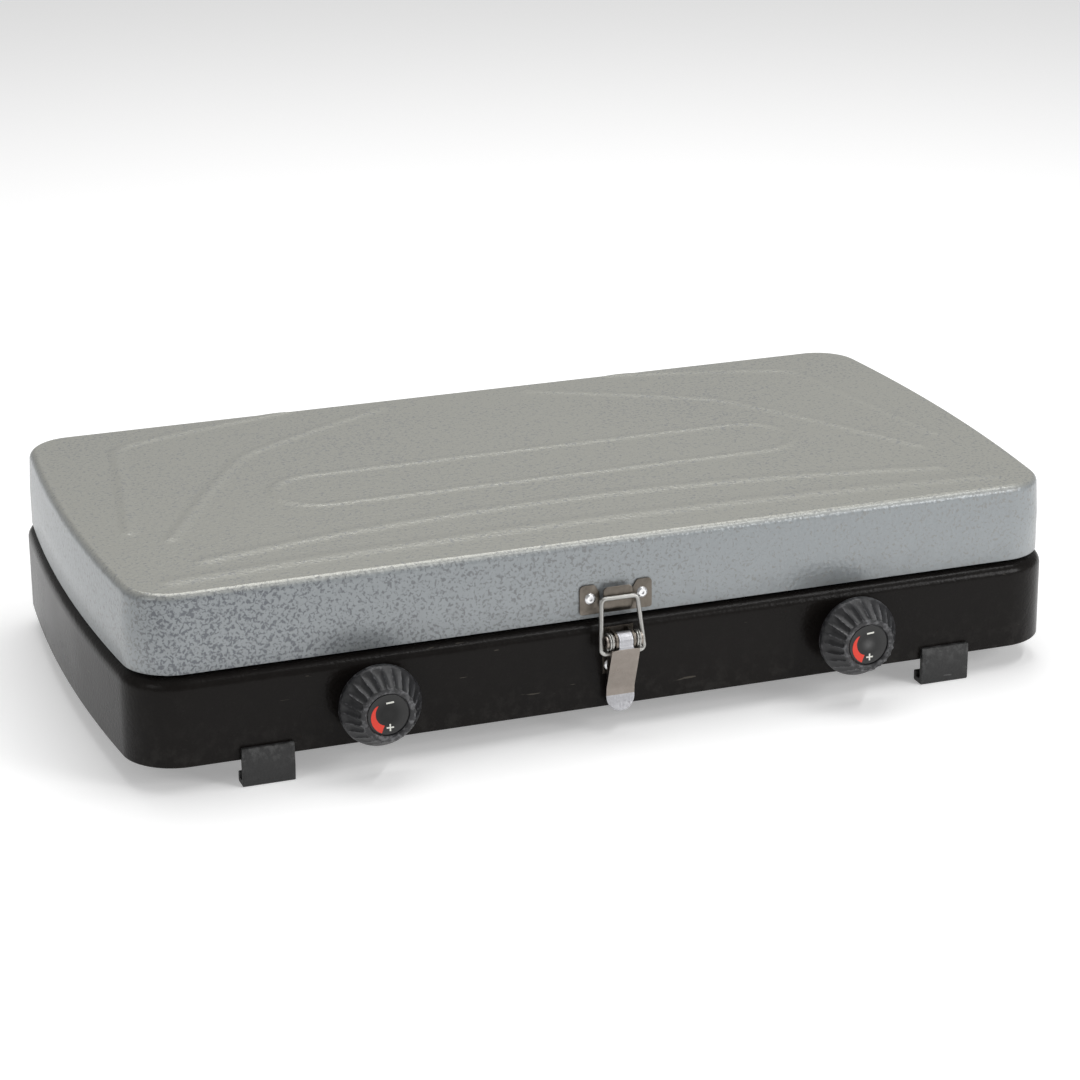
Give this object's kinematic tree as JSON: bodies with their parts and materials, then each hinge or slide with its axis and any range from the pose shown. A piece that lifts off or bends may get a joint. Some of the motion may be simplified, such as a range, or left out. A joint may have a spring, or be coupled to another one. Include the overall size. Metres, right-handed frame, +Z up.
{
  "type": "camp stove",
  "caption": "Tabletop gas camp stove in a flat steel case with a hinged lid, draw latch, burner knobs and clip feet, shown closed.",
  "frame": {"origin": "centre of the case's underside, in plan and on the bottom pan's outer face", "axes": "+X along the width to the right end with the gas inlet, -Y to the front with the knobs and latch, +Z up"},
  "size_m": [0.5712, 0.3351, 0.1126],
  "materials": {
    "black_enamel": "gloss black enamel with a slight orange peel",
    "hammer_paint": "silver-grey hammered paint",
    "zinc": "zinc plated",
    "zinc_steel": "plated steel",
    "cast_aluminium": "as cast",
    "burner_cap_enamel": "matt black",
    "brass": "turned brass",
    "grate_chrome": "bright plated wire",
    "nickel": "nickel plated, worn",
    "rivet_aluminium": "bright",
    "foot_plastic": "scuffed black",
    "knob_plastic": "satin black",
    "dial_print": "printed black disc with a red wedge"
  },
  "bodies": {
    "base": {"base_shell": "black_enamel", "bottom_pan": "black_enamel", "pan_screws": "zinc", "drip_tray": "black_enamel", "burner_bowl_left": "cast_aluminium", "burner_bowl_right": "cast_aluminium", "burner_cap_left": "burner_cap_enamel", "burner_cap_right": "burner_cap_enamel", "burner_screws": "zinc", "mixing_tube_left": "zinc_steel", "mixing_tube_right": "zinc_steel", "tube_brackets": "zinc_steel", "valve_left": "brass", "valve_right": "brass", "valve_nuts": "zinc", "gas_jets": "brass", "manifold_pipe": "zinc_steel", "inlet_fitting": "brass", "inlet_nut": "zinc", "hinge_leaves_base": "nickel", "hinge_pins": "nickel", "hinge_rivets_base": "rivet_aluminium", "latch_bracket": "nickel", "latch_bracket_rivets": "rivet_aluminium", "latch_pin": "nickel", "foot_clip_front_left": "foot_plastic", "foot_clip_front_right": "foot_plastic", "foot_clip_rear_left": "foot_plastic", "foot_clip_rear_right": "foot_plastic", "foot_screws": "zinc"},
    "lid": {"lid_shell": "hammer_paint", "hinge_leaves_lid": "nickel", "hinge_rivets_lid": "rivet_aluminium", "catch_plate": "nickel", "catch_rivets": "rivet_aluminium", "baffle_left": "hammer_paint", "baffle_right": "hammer_paint", "baffle_rods": "zinc_steel", "baffle_clips": "zinc_steel"},
    "grate": {"grate": "grate_chrome"},
    "latch_lever": {"latch_lever": "nickel", "latch_springs": "nickel"},
    "latch_bail": {"latch_bail": "nickel"},
    "knob_left": {"knob_left": "knob_plastic", "dial_left": "dial_print", "stem_left": "brass"},
    "knob_right": {"knob_right": "knob_plastic", "dial_right": "dial_print", "stem_right": "brass"}
  },
  "joints": [
    {"name": "lid_hinge", "type": "hinge", "parent": "base", "child": "lid", "pos_m": [0, 0.1544, 0.051], "axis": [-1, 0, 0], "range_deg": [0, 100]},
    {"name": "grate_lift", "type": "slide", "parent": "base", "child": "grate", "axis": [0, 0, 1], "range_m": [0, 0.02]},
    {"name": "lever_swing", "type": "hinge", "parent": "base", "child": "latch_lever", "pos_m": [0, -0.1595, 0.042], "axis": [-1, 0, 0], "range_deg": [0, 120]},
    {"name": "bail_swing", "type": "hinge", "parent": "latch_lever", "child": "latch_bail", "pos_m": [0, -0.1589, 0.0348], "axis": [1, 0, 0], "range_deg": [0, 145]},
    {"name": "knob_turn_left", "type": "hinge", "parent": "base", "child": "knob_left", "pos_m": [-0.141, -0.159, 0.0253], "axis": [0, -1, 0], "range_deg": [0, 270]},
    {"name": "knob_turn_right", "type": "hinge", "parent": "base", "child": "knob_right", "pos_m": [0.141, -0.159, 0.0253], "axis": [0, -1, 0], "range_deg": [0, 270]}
  ],
  "couplings": [
    {"joint": "bail_swing", "follows": "lever_swing", "ratio": 1.2083}
  ]
}
